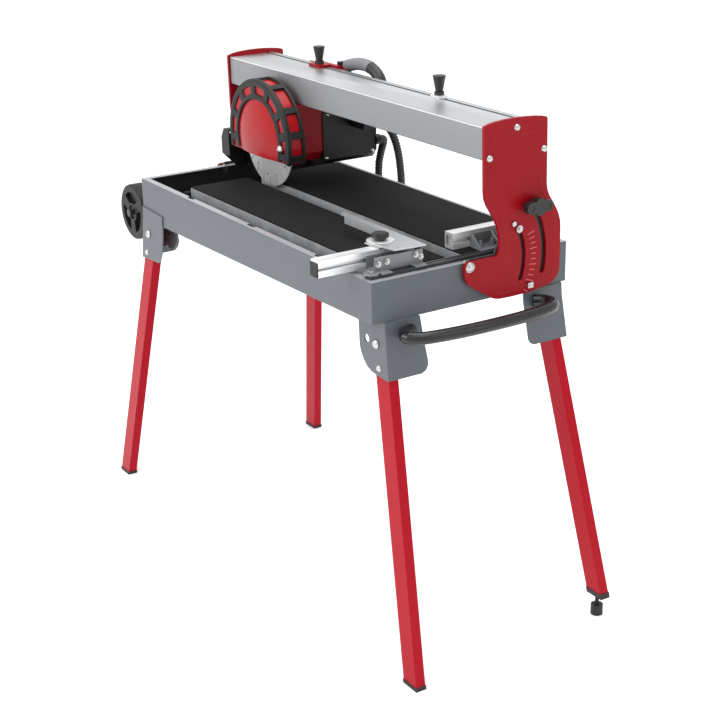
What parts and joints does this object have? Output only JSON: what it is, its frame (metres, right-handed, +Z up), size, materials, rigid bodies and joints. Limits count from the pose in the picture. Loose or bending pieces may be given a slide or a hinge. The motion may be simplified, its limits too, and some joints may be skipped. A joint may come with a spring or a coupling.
{
  "type": "tile bridge saw",
  "caption": "Wet tile saw: a sliding saw head on a tilting aluminium bridge over a water tray with rubber tables, stops, folding legs and transport wheels.",
  "frame": {"origin": "centre of the footprint on the ground", "axes": "+X along the tray towards the operator end, +Y across the tray towards the motor side, +Z up"},
  "size_m": [1.2019, 0.5558, 1.0194],
  "materials": {
    "grey_paint": "semi-gloss powder coat",
    "liner_black": "moulded matt",
    "table_steel": "galvanised satin",
    "mat_rubber": "matt textured rubber",
    "black_steel": "satin black",
    "zinc": "bright zinc plate",
    "fence_alu": "mill finish extrusion",
    "bracket_grey": "satin",
    "handle_tube": "gloss black",
    "red_plate": "satin red powder coat",
    "beam_alu": "brushed extrusion",
    "knob_black": "moulded satin",
    "glide": "acetal",
    "motor_black": "moulded satin",
    "core_steel": "bare steel",
    "guard_red": "gloss",
    "bumper": "matt rubber",
    "grip_grey": "soft grip",
    "cable": "corrugated sleeve",
    "blade_steel": "ground steel, sintered rim",
    "stop_alu": "satin plate",
    "leg_red": "gloss red powder coat",
    "foot_black": "moulded",
    "wheel_black": "moulded"
  },
  "bodies": {
    "tray_and_stand": {"tub_frame": "grey_paint", "water_tray": "liner_black", "drain_plug": "liner_black", "table_near": "table_steel", "table_far": "table_steel", "mats": "mat_rubber", "pump": "liner_black", "quadrants": "black_steel", "tilt_bolts": "zinc", "fence_right": "fence_alu", "fence_right_bracket": "bracket_grey", "fence_rail": "black_steel", "leg_brackets_near": "grey_paint", "leg_brackets_far": "grey_paint", "leg_bolts": "zinc", "carry_handle": "handle_tube", "wheel_axle": "black_steel"},
    "bridge": {"end_plates": "red_plate", "plate_bolts": "zinc", "beam": "beam_alu"},
    "beam_stop": {"travel_stop": "fence_alu"},
    "beam_stop_knob": {"stop_knob": "knob_black"},
    "saw_head": {"carriage": "red_plate", "glide_pads": "glide", "head_mount": "red_plate", "motor_housing": "motor_black", "motor_stator": "core_steel", "motor_bearings": "core_steel", "guard": "guard_red", "guard_bumper": "bumper", "head_screws": "zinc", "splash_shield": "motor_black", "d_handle": "grip_grey", "switch_housing": "motor_black", "cable_loop": "cable"},
    "carriage_lock_knob": {"lock_knob": "knob_black"},
    "rocker": {"switch_rocker": "guard_red"},
    "spindle": {"blade": "blade_steel", "blade_clamp": "core_steel", "motor_rotor": "core_steel", "motor_fan": "motor_black"},
    "left_stop": {"fence_left": "fence_alu", "fence_caps": "bumper", "fence_carrier": "bracket_grey", "fence_fittings": "zinc"},
    "angle_plate": {"angle_stop": "stop_alu"},
    "angle_knob": {"gauge_knob": "knob_black"},
    "near_left_leg": {"leg_near_left": "leg_red", "foot_near_left": "foot_black"},
    "near_right_leg": {"leg_near_right": "leg_red", "foot_near_right": "foot_black"},
    "far_left_leg": {"leg_far_left": "leg_red", "foot_far_left": "foot_black"},
    "far_right_leg": {"leg_far_right": "leg_red", "foot_far_right": "foot_black"},
    "levelling_screw": {"levelling_foot": "foot_black"},
    "left_wheel": {"wheel_left": "wheel_black"},
    "right_wheel": {"wheel_right": "wheel_black"},
    "near_tilt_knob": {"tilt_knob_near": "knob_black"},
    "far_tilt_knob": {"tilt_knob_far": "knob_black"}
  },
  "joints": [
    {"name": "bridge_tilt", "type": "hinge", "parent": "tray_and_stand", "child": "bridge", "pos_m": [0.012, -0.0064, 0.734], "axis": [1, 0, 0], "range_deg": [0, 45]},
    {"name": "head_travel", "type": "slide", "parent": "bridge", "child": "saw_head", "axis": [1, 0, 0], "range_m": [0, 0.399]},
    {"name": "beam_stop_slide", "type": "slide", "parent": "bridge", "child": "beam_stop", "axis": [1, 0, 0], "range_m": [0, 0.22]},
    {"name": "beam_stop_knob_turn", "type": "hinge", "parent": "beam_stop", "child": "beam_stop_knob", "pos_m": [0.211, 0.1196, 1.001], "axis": [0, 0, 1], "range_deg": [0, 270]},
    {"name": "carriage_lock_turn", "type": "hinge", "parent": "saw_head", "child": "carriage_lock_knob", "pos_m": [-0.226, 0.1196, 1.001], "axis": [0, 0, 1], "range_deg": [0, 270]},
    {"name": "switch_rock", "type": "hinge", "parent": "saw_head", "child": "rocker", "pos_m": [-0.0979, 0.1686, 0.887], "axis": [0, 1, 0], "range_deg": [-5, 5]},
    {"name": "blade_spin", "type": "hinge", "parent": "saw_head", "child": "spindle", "pos_m": [-0.231, -0.0064, 0.839], "axis": [0, 1, 0], "continuous": true},
    {"name": "left_stop_slide", "type": "slide", "parent": "tray_and_stand", "child": "left_stop", "axis": [0, 1, 0], "range_m": [-0.06, 0.04]},
    {"name": "angle_set", "type": "hinge", "parent": "left_stop", "child": "angle_plate", "pos_m": [0.382, -0.1294, 0.781], "axis": [0, 0, 1], "range_deg": [0, 60]},
    {"name": "angle_knob_turn", "type": "hinge", "parent": "left_stop", "child": "angle_knob", "pos_m": [0.382, -0.1294, 0.791], "axis": [0, 0, 1], "range_deg": [0, 270]},
    {"name": "near_tilt_clamp_turn", "type": "hinge", "parent": "tray_and_stand", "child": "near_tilt_knob", "pos_m": [0.492, 0.12876, 0.82689], "axis": [1, 0, 0], "range_deg": [0, 270]},
    {"name": "far_tilt_clamp_turn", "type": "hinge", "parent": "tray_and_stand", "child": "far_tilt_knob", "pos_m": [-0.468, 0.12876, 0.82689], "axis": [1, 0, 0], "range_deg": [0, 270]},
    {"name": "near_left_leg_fold", "type": "hinge", "parent": "tray_and_stand", "child": "near_left_leg", "pos_m": [0.446, -0.1666, 0.618], "axis": [0, 0.9986, -0.0523], "range_deg": [0, 102]},
    {"name": "near_right_leg_fold", "type": "hinge", "parent": "tray_and_stand", "child": "near_right_leg", "pos_m": [0.446, 0.1891, 0.618], "axis": [0, 0.9959, 0.0906], "range_deg": [0, 102]},
    {"name": "far_left_leg_fold", "type": "hinge", "parent": "tray_and_stand", "child": "far_left_leg", "pos_m": [-0.426, -0.1922, 0.62], "axis": [0, 0.9973, -0.0732], "range_deg": [-99, 0]},
    {"name": "far_right_leg_fold", "type": "hinge", "parent": "tray_and_stand", "child": "far_right_leg", "pos_m": [-0.426, 0.2126, 0.62], "axis": [0, 0.9962, 0.0872], "range_deg": [-99, 0]},
    {"name": "levelling_screw_travel", "type": "slide", "parent": "near_right_leg", "child": "levelling_screw", "axis": [0, 0, -1], "range_m": [-0.008, 0.02]},
    {"name": "left_wheel_spin", "type": "hinge", "parent": "tray_and_stand", "child": "left_wheel", "pos_m": [-0.519, -0.1864, 0.649], "axis": [0, 1, 0], "continuous": true},
    {"name": "right_wheel_spin", "type": "hinge", "parent": "tray_and_stand", "child": "right_wheel", "pos_m": [-0.519, 0.1976, 0.649], "axis": [0, 1, 0], "continuous": true}
  ]
}
